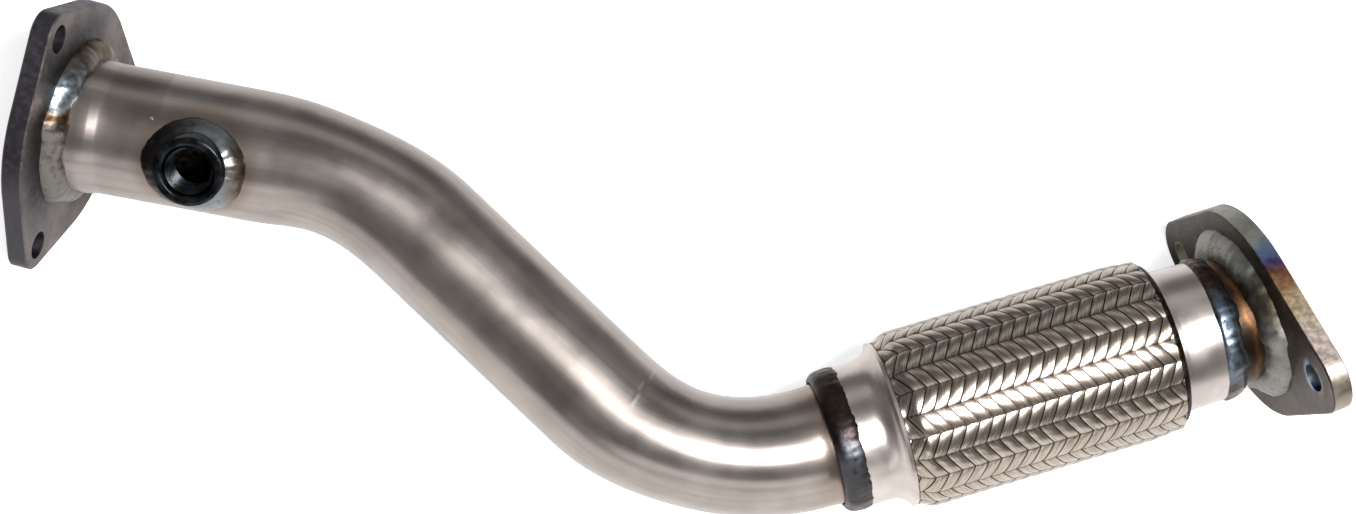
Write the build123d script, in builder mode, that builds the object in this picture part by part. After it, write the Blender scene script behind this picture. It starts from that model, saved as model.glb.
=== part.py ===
from build123d import *
from math import atan, cos, hypot, pi, radians, sin
import os

os.makedirs("parts", exist_ok=True)

# Exhaust front pipe: a tube bent twice in one plane, a three-bolt flange at its inlet, a threaded
# sensor port, a braided flex coupling and a two-bolt flange at its outlet. Millimetres.
# The part lies on a floor as it comes to rest. The origin is the centre of the inlet's sealing face.

# Tube
tube_od = 50.8
tube_wall = 1.6
inlet_end_od = tube_od + 1.4
inlet_expanded = 18.0
inlet_cone = 9.0
inlet_length = 89.5
first_bend_radius = 108.0
first_bend_angle = 33.0
middle_length = 91.0
second_bend_radius = 85.0
second_bend_angle = 60.0
rear_length = 10.0
rear_end_od = tube_od - 3.2
rear_insert = 14.0
rear_sizing_length = 8.0
end_recess = 2.0

# Width of the tube in the bend plane, as shares of its diameter, where the bending flattened it
first_bend_squash = 0.92
middle_squash = 0.97
second_bend_squash = 0.885
rear_squash = 0.92
first_squash_place = 0.4
second_squash_place = 0.5
squash_spread = 0.25
squash_lead = 10.0
bent_steps = 26

# Inlet flange, leaning a little on the tube: in the bend plane, and out towards the port's side
inlet_tilt = 5.4
inlet_out = 6.2
inlet_flange_thickness = 8.0
inlet_bolt_count = 3
inlet_lobe_distance = 49.0
inlet_bolt_hole = 11.0
inlet_bolt_turn = 91.0
inlet_lobe_radius = 9.8
inlet_body_radius = 47.4
flange_edge_break = 0.6
slip_fit = 0.3

# Sensor port, M18 x 1.5
port_bend_distance = 30.0
port_station = inlet_length - port_bend_distance
port_lean = 26.0
port_od = 27.0
port_height = 9.0
port_minor_diameter = 16.4
port_countersink = 21.0
port_countersink_depth = 2.6
port_edge_break = 0.8
port_weld_radius = 5.6

# Weld beads
inlet_weld_leg = 7.0
inlet_weld_height = 7.5
outlet_weld_leg = 8.0
outlet_weld_height = 6.0
fillet_bulge = 0.62
joint_weld_rise = 2.8
joint_weld_root = 1.0
joint_weld_back = 4.5
joint_weld_crest_past = 1.0
joint_weld_crest_rise = 0.5
joint_weld_lap = 2.4
rear_weld_rise = 0.3
rear_weld_drop = 0.2
rear_weld_crest_past = 2.6
rear_weld_end_past = 4.0
rear_weld_end_depth = 0.6

# Flex coupling: stations are measured along its axis from the end of the tube's bends
collar_wall = 1.6
collar_bore_radius = tube_od / 2 + 0.5
front_collar_start = 5.0
front_flare_start = 13.0
front_flare_radius = 9.0
front_flare_angle = 68.0
rear_collar_start = 131.6
rear_collar_length = 16.4
rear_collar_rim_radius = collar_bore_radius + 2.4
rear_lip_length = 2.0
rear_lip_drop = 0.3
coupling_gap = 0.3

# Inside the coupling
sleeve_bore_radius = rear_end_od / 2 + 0.3
sleeve_wall = 0.8
front_sleeve_start = 3.4
front_sleeve_end = 20.0
rear_sleeve_start = 130.0
rear_sleeve_end_gap = 0.5
bellows_wall = 0.4
bellows_start = 24.0
bellows_crest_radius = collar_bore_radius + 4.1
bellows_cuff_inset = 1.0
bellows_crest_width = 2.0
bellows_convolutions = 12
bellows_pitch = 8.2
mesh_wall = 0.8
liner_wall = 1.4
liner_groove = 0.6
liner_groove_width = 2.0
liner_turns = 8
liner_end_gap = 1.5
liner_rear_gap = 6.0

# Outer braid: flat bundles of wire laid in stripes, each stripe slanted against its neighbour
braid_strands = 24
braid_pick = 5.15
braid_radius = collar_bore_radius + 8.3
braid_wall = 1.2
braid_float_height = 0.5
braid_float_root = 0.4
braid_gap = 0.35
braid_start = 22.25
braid_start_radius = braid_radius - 2.6
braid_swell = 5.0
braid_end = 125.0
braid_end_radius = braid_radius - 1.8
braid_taper = 6.0
braid_ring_round = 3.0

# Outlet, mitred to the coupling
mitre_station = 149.5
outlet_lean = 6.0
outlet_away = 3.2
outlet_stub_length = 16.8
outlet_flange_thickness = 8.0
outlet_bolt_count = 2
outlet_lobe_distance = 52.0
outlet_bolt_hole = 11.0
outlet_bolt_turn = 36.6
outlet_lobe_radius = 14.6
outlet_body_radius = 43.0

# Direction of the inlet leg on the floor
inlet_heading = -10.0


# Directions and points of the bend plane before it is laid down: x runs along the inlet leg,
# y is up in the bend plane and z points at the side with the sensor port
side = Vector(0, 0, 1)


def heading(angle):
    return Vector(cos(radians(angle)), sin(radians(angle)), 0)


with BuildLine() as flat_centreline:
    inlet_leg = Line((0, 0), (inlet_length, 0))
    first_bend = JernArc(inlet_leg @ 1, inlet_leg % 1, first_bend_radius, -first_bend_angle)
    middle_leg = PolarLine(first_bend @ 1, middle_length, direction=first_bend % 1)
    second_bend = JernArc(middle_leg @ 1, middle_leg % 1, second_bend_radius, second_bend_angle)
    rear_leg = PolarLine(second_bend @ 1, rear_length, direction=second_bend % 1)

centreline = flat_centreline.wire()
coupling_heading = second_bend_angle - first_bend_angle
coupling_base = rear_leg @ 1
coupling_axis = heading(coupling_heading)
inlet_axis = heading(-inlet_tilt) * cos(radians(inlet_out)) + side * sin(radians(inlet_out))
outlet_axis = (
    heading(coupling_heading + outlet_lean) * cos(radians(outlet_away)) - side * sin(radians(outlet_away))
)
mitre_point = coupling_base + coupling_axis * mitre_station
outlet_base = mitre_point + outlet_axis * outlet_stub_length


def bolt_direction(axis, angle):
    """Direction to a bolt, turned about the flange's axis from the side with the sensor port."""
    across = (side - axis * side.dot(axis)).normalized()
    return across * cos(radians(angle)) + axis.cross(across) * sin(radians(angle))


# Outer braid's stripes, and the station where it is fullest
braid_rise_end = braid_start + braid_swell
braid_fall_start = braid_end - braid_taper
half_sector = pi / braid_strands
stripe_depth = braid_radius * cos(half_sector)
stripe_width = 2 * braid_radius * sin(half_sector)
float_half_width = stripe_width / 2 - braid_gap / 2
braid_outer_radius = hypot(stripe_depth + braid_float_height, float_half_width)

# The part rests on the edges of both flanges and on the front of the braid, where it is fullest
inlet_edges = [(Vector(0, 0, 0), inlet_axis, inlet_flange_thickness, inlet_body_radius)]
for bolt in range(inlet_bolt_count):
    bolt_angle = inlet_bolt_turn + bolt * 360 / inlet_bolt_count
    bolt_centre = bolt_direction(inlet_axis, bolt_angle) * inlet_lobe_distance
    inlet_edges.append((bolt_centre, inlet_axis, inlet_flange_thickness, inlet_lobe_radius))
outlet_edges = [(outlet_base, outlet_axis, outlet_flange_thickness, outlet_body_radius)]
for bolt in range(outlet_bolt_count):
    bolt_angle = outlet_bolt_turn + bolt * 360 / outlet_bolt_count
    bolt_centre = outlet_base + bolt_direction(outlet_axis, bolt_angle) * outlet_lobe_distance
    outlet_edges.append((bolt_centre, outlet_axis, outlet_flange_thickness, outlet_lobe_radius))
braid_edges = [(coupling_base + coupling_axis * braid_rise_end, coupling_axis, 0, braid_outer_radius)]


def lowest_point(centre, axis, thickness, radius, up):
    """Lowest point of a round edge, taken on the lower of the plate's two faces."""
    below = (axis * axis.dot(up) - up).normalized()
    return centre + below * radius + axis * (thickness if axis.dot(up) < 0 else 0)


up = side
for turn in range(12):
    feet = []
    for edges in (inlet_edges, braid_edges, outlet_edges):
        feet.append(min((lowest_point(*edge, up) for edge in edges), key=up.dot))
    up = (feet[1] - feet[0]).cross(feet[2] - feet[0]).normalized()
east = heading(-inlet_heading)
east = (east - up * east.dot(up)).normalized()
north = up.cross(east)


def laid(direction):
    """A direction of the flat layout, turned as the part lies on the floor."""
    return Vector(direction.dot(east), direction.dot(north), direction.dot(up))


bend_plane = Plane((0, 0, 0), x_dir=laid(heading(0)), z_dir=laid(side))


def plane_at(point, normal, across):
    """Plane at a point of the flat layout, facing along normal, with its x axis along across."""
    return Plane(bend_plane.from_local_coords(point), x_dir=laid(across), z_dir=laid(normal))


def station_plane(distance):
    """Cross-section plane of the tube, with x square to the bend plane and away from the port."""
    point = centreline.position_at(distance, position_mode=PositionMode.LENGTH)
    along = centreline.tangent_at(distance, position_mode=PositionMode.LENGTH)
    return plane_at(point, along, -side)


inlet_plane = plane_at(Vector(0, 0, 0), inlet_axis, bolt_direction(inlet_axis, 0))
port_axis = side * cos(radians(port_lean)) + heading(-90) * sin(radians(port_lean))
port_plane = plane_at(heading(0) * port_station, port_axis, heading(0))
coupling_plane = plane_at(coupling_base, coupling_axis, side)
outlet_plane = plane_at(outlet_base, outlet_axis, bolt_direction(outlet_axis, 0))
mitre_plane = plane_at(mitre_point, coupling_axis, side)

# Profile planes hold an axis and the radius: x runs along the axis and y away from it
inlet_profile = plane_at(Vector(0, 0, 0), inlet_axis.cross(bolt_direction(inlet_axis, 0)), inlet_axis)
coupling_profile = plane_at(coupling_base, heading(coupling_heading - 90), coupling_axis)
outlet_profile = plane_at(
    outlet_base, outlet_axis.cross(bolt_direction(outlet_axis, 0)), outlet_axis
)
inlet_line = Axis(inlet_profile.origin, inlet_profile.x_dir)
coupling_line = Axis(coupling_profile.origin, coupling_profile.x_dir)
outlet_line = Axis(outlet_profile.origin, outlet_profile.x_dir)


# Shares of the tube's width along its length, eased from one place to the next
first_bend_end = inlet_length + first_bend.length
second_bend_start = first_bend_end + middle_length
second_bend_end = second_bend_start + second_bend.length
tube_shares = [
    (inlet_length - squash_lead, 1.0),
    (inlet_length + first_bend.length * first_squash_place, first_bend_squash),
    (first_bend_end, middle_squash),
    (second_bend_start, middle_squash),
    (second_bend_start + second_bend.length * second_squash_place, second_bend_squash),
    (second_bend_end, rear_squash),
    (second_bend_end + rear_sizing_length, rear_end_od / tube_od),
]


def tube_size(distance):
    """Width of the tube in the bend plane and square to it at a distance along it."""
    for (start, before), (end, after) in zip(tube_shares, tube_shares[1:]):
        if distance <= end:
            eased = (1 - cos(pi * (distance - start) / (end - start))) / 2
            share = before + (after - before) * eased
            spread = 1 + squash_spread * (1 - share)
            if end == tube_shares[-1][0]:
                spread += (rear_end_od / tube_od - spread) * eased
            return tube_od * share, tube_od * spread


# Cross-sections of the bent length: plane, width in the bend plane and width square to it
bent_start, bent_end = tube_shares[0][0], tube_shares[-1][0]
bent_sections = []
for step in range(bent_steps + 1):
    distance = bent_start + (bent_end - bent_start) * step / bent_steps
    bent_sections.append((station_plane(distance), *tube_size(distance)))

# Outside of the tube, used to seat the welds and the port on it
with BuildPart() as tube_outside:
    with BuildSketch(station_plane(0)):
        Circle(inlet_end_od / 2)
    extrude(amount=inlet_expanded)
    with BuildSketch(station_plane(inlet_expanded)):
        Circle(inlet_end_od / 2)
    with BuildSketch(station_plane(inlet_expanded + inlet_cone)):
        Circle(tube_od / 2)
    loft()
    with BuildSketch(station_plane(inlet_expanded + inlet_cone)):
        Circle(tube_od / 2)
    extrude(amount=bent_start - inlet_expanded - inlet_cone)
    for plane, width, height in bent_sections:
        with BuildSketch(plane):
            Ellipse(height / 2, width / 2)
    loft()
    with BuildSketch(station_plane(bent_end)):
        Circle(rear_end_od / 2)
    extrude(amount=rear_insert + rear_length - rear_sizing_length)
    split(bisect_by=inlet_plane.offset(end_recess), keep=Keep.TOP)

# Hollow of the tube
with BuildPart() as tube_hollow:
    with BuildSketch(station_plane(0).offset(-tube_wall)):
        Circle(inlet_end_od / 2 - tube_wall)
    extrude(amount=inlet_expanded + tube_wall)
    with BuildSketch(station_plane(inlet_expanded)):
        Circle(inlet_end_od / 2 - tube_wall)
    with BuildSketch(station_plane(inlet_expanded + inlet_cone)):
        Circle(tube_od / 2 - tube_wall)
    loft()
    with BuildSketch(station_plane(inlet_expanded + inlet_cone)):
        Circle(tube_od / 2 - tube_wall)
    extrude(amount=bent_start - inlet_expanded - inlet_cone)
    for plane, width, height in bent_sections:
        with BuildSketch(plane):
            Ellipse(height / 2 - tube_wall, width / 2 - tube_wall)
    loft()
    with BuildSketch(station_plane(bent_end)):
        Circle(rear_end_od / 2 - tube_wall)
    extrude(amount=rear_insert + rear_length)


# Tube, with a hole under the sensor port
with BuildPart() as front_pipe:
    add(tube_outside.part)
    add(tube_hollow.part, mode=Mode.SUBTRACT)
    with BuildSketch(port_plane):
        Circle(port_minor_diameter / 2)
    extrude(amount=tube_od, mode=Mode.SUBTRACT)
front_pipe.part.label = "front_pipe"
export_step(front_pipe.part, "parts/front_pipe.step")


# Inlet flange: three lobes round a body, all hulled
with BuildPart() as inlet_flange:
    with BuildSketch(inlet_plane):
        with PolarLocations(inlet_lobe_distance, inlet_bolt_count, inlet_bolt_turn):
            Circle(inlet_lobe_radius)
        Circle(inlet_body_radius)
        make_hull()
    extrude(amount=inlet_flange_thickness)
    levels = inlet_flange.edges().group_by(inlet_line)
    chamfer(levels[0] + levels[-1], flange_edge_break)
    with BuildSketch(inlet_plane):
        with PolarLocations(inlet_lobe_distance, inlet_bolt_count, inlet_bolt_turn):
            Circle(inlet_bolt_hole / 2)
    extrude(amount=inlet_flange_thickness, mode=Mode.SUBTRACT)
    with BuildSketch(station_plane(0)):
        Circle(inlet_end_od / 2 + slip_fit)
    extrude(amount=2 * inlet_flange_thickness, both=True, mode=Mode.SUBTRACT)
inlet_flange.part.label = "inlet_flange"
export_step(inlet_flange.part, "parts/inlet_flange.step")


# Fillet weld between the flange and the tube
with BuildPart() as inlet_flange_weld:
    weld_root = inlet_end_od / 2 - 2 * inlet_weld_height * sin(radians(inlet_tilt + inlet_out))
    weld_toe = inlet_flange_thickness
    weld_tip = inlet_flange_thickness + inlet_weld_height
    with BuildSketch(inlet_profile):
        with BuildLine():
            Line((weld_toe, inlet_end_od / 2 + inlet_weld_leg), (weld_toe, weld_root))
            Line((weld_toe, weld_root), (weld_tip, weld_root))
            Line((weld_tip, weld_root), (weld_tip, inlet_end_od / 2))
            ThreePointArc(
                (weld_tip, inlet_end_od / 2),
                (
                    weld_toe + inlet_weld_height * fillet_bulge,
                    inlet_end_od / 2 + inlet_weld_leg * fillet_bulge,
                ),
                (weld_toe, inlet_end_od / 2 + inlet_weld_leg),
            )
        make_face()
    revolve(axis=inlet_line)
    add(tube_outside.part, mode=Mode.SUBTRACT)
inlet_flange_weld.part.label = "inlet_flange_weld"
export_step(inlet_flange_weld.part, "parts/inlet_flange_weld.step")


def distance_from(plane, point):
    """Distance of a point from the axis through a plane's origin."""
    local = plane.to_local_coords(point)
    return hypot(local.X, local.Y)


# Sensor port: a boss coped to the tube, countersunk and bored for its thread
port_face = tube_od / 2 + port_height
with BuildPart() as sensor_port:
    with BuildSketch(port_plane.offset(port_od / 2)):
        Circle(port_od / 2)
    extrude(amount=port_face - port_od / 2)
    chamfer(sensor_port.edges().group_by(Axis(port_plane.origin, port_plane.z_dir))[-1], port_edge_break)
    add(tube_outside.part, mode=Mode.SUBTRACT)
    with BuildSketch(port_plane):
        Circle(port_minor_diameter / 2)
    extrude(amount=port_face, mode=Mode.SUBTRACT)
    with BuildSketch(port_plane.offset(port_face)):
        Circle(port_countersink / 2)
    with BuildSketch(port_plane.offset(port_face - port_countersink_depth)):
        Circle(port_minor_diameter / 2)
    loft(mode=Mode.SUBTRACT)
sensor_port.part.label = "sensor_port"
export_step(sensor_port.part, "parts/sensor_port.step")


# Weld bead that follows the port's coped foot
with BuildPart() as port_weld:
    copes = sensor_port.part.edges().filter_by(GeomType.BSPLINE)
    foot = copes.sort_by(lambda edge: distance_from(port_plane, edge @ 0.5))[-1]
    with BuildSketch(Plane(foot @ 0, z_dir=foot % 0)):
        Circle(port_weld_radius)
    sweep(path=foot, is_frenet=True)
    add(tube_outside.part, mode=Mode.SUBTRACT)
    with BuildSketch(port_plane):
        Circle(port_od / 2)
    extrude(amount=port_face, mode=Mode.SUBTRACT)
port_weld.part.label = "port_weld"
export_step(port_weld.part, "parts/port_weld.step")


# Front collar: a neck that flares like a trumpet
collar_radius = collar_bore_radius + collar_wall / 2
collar_outer = collar_bore_radius + collar_wall
sleeve_outer = sleeve_bore_radius + sleeve_wall
with BuildPart() as front_collar:
    with BuildSketch(coupling_profile):
        with BuildLine():
            neck = Line((front_collar_start, collar_radius), (front_flare_start, collar_radius))
            JernArc(neck @ 1, neck % 1, front_flare_radius, front_flare_angle)
        trace(line_width=collar_wall)
    revolve(axis=coupling_line)
front_collar.part.label = "front_collar"
export_step(front_collar.part, "parts/front_collar.step")


# Weld between the tube and the front collar
with BuildPart() as pipe_to_flex_weld:
    tube_rear_radius = rear_end_od / 2
    weld_back = -joint_weld_back
    weld_root = tube_rear_radius - joint_weld_root
    weld_lap = front_collar_start + joint_weld_lap
    with BuildSketch(coupling_profile):
        with BuildLine():
            crest = (front_collar_start + joint_weld_crest_past, collar_outer + joint_weld_crest_rise)
            ThreePointArc((weld_back, tube_rear_radius), (0, tube_rear_radius + joint_weld_rise), crest)
            Line(crest, (weld_lap, collar_outer))
            Line((weld_lap, collar_outer), (front_collar_start, collar_outer))
            Line((front_collar_start, collar_outer), (front_collar_start, sleeve_outer))
            Line((front_collar_start, sleeve_outer), (front_sleeve_start, sleeve_outer))
            Line((front_sleeve_start, sleeve_outer), (front_sleeve_start, weld_root))
            Line((front_sleeve_start, weld_root), (weld_back, weld_root))
            Line((weld_back, weld_root), (weld_back, tube_rear_radius))
        make_face()
    revolve(axis=coupling_line)
    add(tube_outside.part, mode=Mode.SUBTRACT)
pipe_to_flex_weld.part.label = "pipe_to_flex_weld"
export_step(pipe_to_flex_weld.part, "parts/pipe_to_flex_weld.step")


# Sleeves that carry the liner at both ends
rear_collar_end = rear_collar_start + rear_collar_length
rear_sleeve_end = mitre_station - rear_sleeve_end_gap
with BuildPart() as front_sleeve:
    with BuildSketch(coupling_profile):
        with Locations((front_sleeve_start, sleeve_bore_radius)):
            Rectangle(front_sleeve_end - front_sleeve_start, sleeve_wall, align=(Align.MIN, Align.MIN))
    revolve(axis=coupling_line)
front_sleeve.part.label = "front_sleeve"
export_step(front_sleeve.part, "parts/front_sleeve.step")

with BuildPart() as rear_sleeve:
    with BuildSketch(coupling_profile):
        with Locations((rear_sleeve_start, sleeve_bore_radius)):
            Rectangle(rear_sleeve_end - rear_sleeve_start, sleeve_wall, align=(Align.MIN, Align.MIN))
    revolve(axis=coupling_line)
rear_sleeve.part.label = "rear_sleeve"
export_step(rear_sleeve.part, "parts/rear_sleeve.step")


# Bellows: thin corrugated tube with a cuff at each end
cuff_radius = sleeve_outer + coupling_gap + bellows_wall / 2
crest_radius = bellows_crest_radius - bellows_wall / 2
front_cuff_start = front_collar_start + bellows_cuff_inset
bellows_end = bellows_start + bellows_convolutions * bellows_pitch
with BuildPart() as bellows:
    with BuildSketch(coupling_profile):
        with BuildLine():
            folds = [(front_cuff_start, cuff_radius), (bellows_start, cuff_radius)]
            for convolution in range(bellows_convolutions):
                middle = bellows_start + (convolution + 0.5) * bellows_pitch
                folds.append((middle - bellows_crest_width / 2, crest_radius))
                folds.append((middle + bellows_crest_width / 2, crest_radius))
                folds.append((middle + bellows_pitch / 2, cuff_radius))
            folds.append((rear_collar_end - bellows_cuff_inset, cuff_radius))
            Polyline(*folds)
        trace(line_width=bellows_wall)
    revolve(axis=coupling_line)
bellows.part.label = "bellows"
export_step(bellows.part, "parts/bellows.step")


# Knitted sleeve between the liner and the bellows
mesh_bore_radius = sleeve_bore_radius
with BuildPart() as inner_mesh:
    with BuildSketch(coupling_profile):
        with Locations((front_sleeve_end + coupling_gap, mesh_bore_radius)):
            Rectangle(
                rear_sleeve_start - front_sleeve_end - 2 * coupling_gap,
                mesh_wall,
                align=(Align.MIN, Align.MIN),
            )
    revolve(axis=coupling_line)
inner_mesh.part.label = "inner_mesh"
export_step(inner_mesh.part, "parts/inner_mesh.step")


# Strip-wound liner with a groove between its interlocked turns
liner_radius = sleeve_bore_radius - coupling_gap
liner_start = rear_insert + liner_end_gap
liner_end = rear_sleeve_end - liner_rear_gap
with BuildPart() as inner_liner:
    with BuildSketch(coupling_profile):
        with Locations((liner_start, liner_radius - liner_wall)):
            Rectangle(liner_end - liner_start, liner_wall, align=(Align.MIN, Align.MIN))
        for turn in range(liner_turns):
            middle = liner_start + (turn + 0.5) * (liner_end - liner_start) / liner_turns
            with Locations((middle, liner_radius)):
                Rectangle(
                    liner_groove_width, liner_groove, align=(Align.CENTER, Align.MAX), mode=Mode.SUBTRACT
                )
    revolve(axis=coupling_line)
inner_liner.part.label = "inner_liner"
export_step(inner_liner.part, "parts/inner_liner.step")


# Outer braid: a wall of flat stripes with the raised floats of the wire bundles on them
strand_angle = atan(stripe_width / braid_pick)
float_rows = int((braid_fall_start - braid_rise_end) / braid_pick)
float_slant = float_half_width * braid_pick / stripe_width
float_half_length = (braid_pick - braid_gap / sin(strand_angle)) / 2


def stripe_planes(first):
    """Planes just under every second stripe, with x along the coupling."""
    planes = []
    for stripe in range(first, braid_strands, 2):
        turn = (2 * stripe + 1) * half_sector
        outward = side * cos(turn) + heading(coupling_heading - 90) * sin(turn)
        point = coupling_base + coupling_axis * braid_rise_end + outward * (stripe_depth - braid_float_root)
        planes.append(plane_at(point, outward, coupling_axis))
    return planes


with BuildPart() as outer_braid:
    for start, start_radius, end, end_radius in (
        (braid_start, braid_start_radius, braid_rise_end, braid_radius),
        (braid_rise_end, braid_radius, braid_fall_start, braid_radius),
        (braid_fall_start, braid_radius, braid_end, braid_end_radius),
    ):
        with BuildSketch(coupling_plane.offset(start)):
            RegularPolygon(start_radius, braid_strands)
        with BuildSketch(coupling_plane.offset(end)):
            RegularPolygon(end_radius, braid_strands)
        loft(ruled=True)
    for lean in (1, -1):
        with BuildSketch(*stripe_planes(0 if lean > 0 else 1)):
            for row in range(float_rows):
                middle = (row + 0.5 + 0.25 * lean) * braid_pick
                slant = float_slant * lean
                with BuildLine():
                    Polyline(
                        (middle - float_half_length - slant, -float_half_width),
                        (middle + float_half_length - slant, -float_half_width),
                        (middle + float_half_length + slant, float_half_width),
                        (middle - float_half_length + slant, float_half_width),
                        close=True,
                    )
                make_face()
        extrude(amount=braid_float_root + braid_float_height, clean=False)
    with BuildSketch(coupling_profile):
        Polygon(
            (braid_start - 1, 0),
            (braid_start - 1, braid_start_radius - braid_wall),
            (braid_start, braid_start_radius - braid_wall),
            (braid_rise_end, braid_radius - braid_wall),
            (braid_fall_start, braid_radius - braid_wall),
            (braid_end, braid_end_radius - braid_wall),
            (braid_end + 1, braid_end_radius - braid_wall),
            (braid_end + 1, 0),
            align=None,
        )
    revolve(axis=coupling_line, mode=Mode.SUBTRACT)
outer_braid.part.label = "outer_braid"
export_step(outer_braid.part, "parts/outer_braid.step")


# Dark ring that holds the braid's rear end
ring_start = braid_end + coupling_gap
ring_end = rear_collar_start - coupling_gap
with BuildPart() as braid_end_ring:
    with BuildSketch(coupling_profile):
        with Locations((ring_start, collar_bore_radius)):
            Rectangle(
                ring_end - ring_start,
                braid_end_radius - collar_bore_radius,
                align=(Align.MIN, Align.MIN),
            )
    revolve(axis=coupling_line)
    outer_edges = braid_end_ring.edges().filter_by(GeomType.CIRCLE).sort_by(Edge.length)[-2:]
    fillet(outer_edges.sort_by(coupling_line)[-1], braid_ring_round)
braid_end_ring.part.label = "braid_end_ring"
export_step(braid_end_ring.part, "parts/braid_end_ring.step")


# Rear collar: narrows towards the outlet, with a small lip at the braid
with BuildPart() as rear_collar:
    rim_bore = rear_collar_rim_radius - collar_wall
    with BuildSketch(coupling_profile):
        Polygon(
            (rear_collar_start, rim_bore),
            (rear_collar_start, rear_collar_rim_radius),
            (rear_collar_start + rear_lip_length, rear_collar_rim_radius - rear_lip_drop),
            (rear_collar_end, collar_bore_radius + collar_wall),
            (rear_collar_end, collar_bore_radius),
            (rear_collar_start + rear_lip_length, rim_bore - rear_lip_drop),
            align=None,
        )
    revolve(axis=coupling_line)
rear_collar.part.label = "rear_collar"
export_step(rear_collar.part, "parts/rear_collar.step")


# Outlet stub, cut to the mitre
stub_back = (outlet_base - mitre_point).length + tube_od * sin(radians(outlet_lean + outlet_away))
with BuildPart() as stub_outside:
    with BuildSketch(outlet_plane.offset(-stub_back)):
        Circle(tube_od / 2)
    extrude(amount=stub_back + outlet_flange_thickness - end_recess)
    split(bisect_by=mitre_plane, keep=Keep.TOP)

with BuildPart() as outlet_stub:
    add(stub_outside.part)
    with BuildSketch(outlet_plane.offset(-stub_back)):
        Circle(tube_od / 2 - tube_wall)
    extrude(amount=stub_back + outlet_flange_thickness, mode=Mode.SUBTRACT)
outlet_stub.part.label = "outlet_stub"
export_step(outlet_stub.part, "parts/outlet_stub.step")


# Weld between the rear collar and the stub
with BuildPart() as rear_collar_weld:
    weld_end = mitre_station + rear_weld_end_past
    weld_bore = tube_od / 2 - tube_wall
    with BuildSketch(coupling_profile):
        with BuildLine():
            toe = (rear_collar_end, collar_outer - rear_weld_drop)
            tip = (weld_end, tube_od / 2 - rear_weld_end_depth)
            Line((rear_collar_end, sleeve_outer), toe)
            ThreePointArc(toe, (rear_collar_end + rear_weld_crest_past, collar_outer + rear_weld_rise), tip)
            Line(tip, (weld_end, weld_bore))
            Line((weld_end, weld_bore), (mitre_station, weld_bore))
            Line((mitre_station, weld_bore), (mitre_station, sleeve_outer))
            Line((mitre_station, sleeve_outer), (rear_collar_end, sleeve_outer))
        make_face()
    revolve(axis=coupling_line)
    add(stub_outside.part, mode=Mode.SUBTRACT)
rear_collar_weld.part.label = "rear_collar_weld"
export_step(rear_collar_weld.part, "parts/rear_collar_weld.step")


# Outlet flange: two lobes round a body, all hulled
with BuildPart() as outlet_flange:
    with BuildSketch(outlet_plane):
        with PolarLocations(outlet_lobe_distance, outlet_bolt_count, outlet_bolt_turn):
            Circle(outlet_lobe_radius)
        Circle(outlet_body_radius)
        make_hull()
    extrude(amount=outlet_flange_thickness)
    levels = outlet_flange.edges().group_by(outlet_line)
    chamfer(levels[0] + levels[-1], flange_edge_break)
    with BuildSketch(outlet_plane):
        Circle(tube_od / 2 + slip_fit)
        with PolarLocations(outlet_lobe_distance, outlet_bolt_count, outlet_bolt_turn):
            Circle(outlet_bolt_hole / 2)
    extrude(amount=outlet_flange_thickness, mode=Mode.SUBTRACT)
outlet_flange.part.label = "outlet_flange"
export_step(outlet_flange.part, "parts/outlet_flange.step")


# Fillet weld between the stub and the outlet flange
with BuildPart() as outlet_flange_weld:
    with BuildSketch(outlet_profile):
        with BuildLine():
            toe = (0, tube_od / 2 + outlet_weld_leg)
            tip = (-outlet_weld_height, tube_od / 2)
            bulge = (-outlet_weld_height * fillet_bulge, tube_od / 2 + outlet_weld_leg * fillet_bulge)
            ThreePointArc(toe, bulge, tip)
            Line(tip, (0, tube_od / 2))
            Line((0, tube_od / 2), toe)
        make_face()
    revolve(axis=outlet_line)
outlet_flange_weld.part.label = "outlet_flange_weld"
export_step(outlet_flange_weld.part, "parts/outlet_flange_weld.step")
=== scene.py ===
from functools import partial
import math

import bmesh
import bpy
from mathutils import Matrix, Vector, noise


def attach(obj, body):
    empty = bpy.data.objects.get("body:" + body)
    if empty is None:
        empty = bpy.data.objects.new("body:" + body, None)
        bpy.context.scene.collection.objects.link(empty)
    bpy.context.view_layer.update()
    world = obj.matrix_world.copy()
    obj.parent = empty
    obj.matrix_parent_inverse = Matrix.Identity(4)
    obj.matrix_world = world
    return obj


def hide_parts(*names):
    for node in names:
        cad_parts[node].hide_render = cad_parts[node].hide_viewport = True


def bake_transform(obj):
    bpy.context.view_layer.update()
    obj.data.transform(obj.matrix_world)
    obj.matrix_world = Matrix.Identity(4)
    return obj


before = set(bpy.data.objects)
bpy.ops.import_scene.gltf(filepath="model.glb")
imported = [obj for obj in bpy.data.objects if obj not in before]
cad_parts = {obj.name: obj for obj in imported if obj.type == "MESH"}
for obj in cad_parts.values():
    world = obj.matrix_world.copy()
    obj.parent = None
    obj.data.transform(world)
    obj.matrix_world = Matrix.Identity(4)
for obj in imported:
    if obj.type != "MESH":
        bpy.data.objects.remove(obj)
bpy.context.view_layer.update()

MM = 0.001

# ---------------------------------------------------------------------------
# The layout: the tube's bend plane as it lies on the floor, and its stations
# ---------------------------------------------------------------------------

# Where the bend plane's directions point: along the inlet leg, across it, and out on the port's side
LEG = Vector((0.98565793, -0.16875361, 0.00081308))
ACROSS = Vector((0.16365814, 0.95704928, 0.23931711))
SIDE = Vector((-0.04116378, -0.23575174, 0.97094112))
FLOOR_Z = -47.24 * MM

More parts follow.
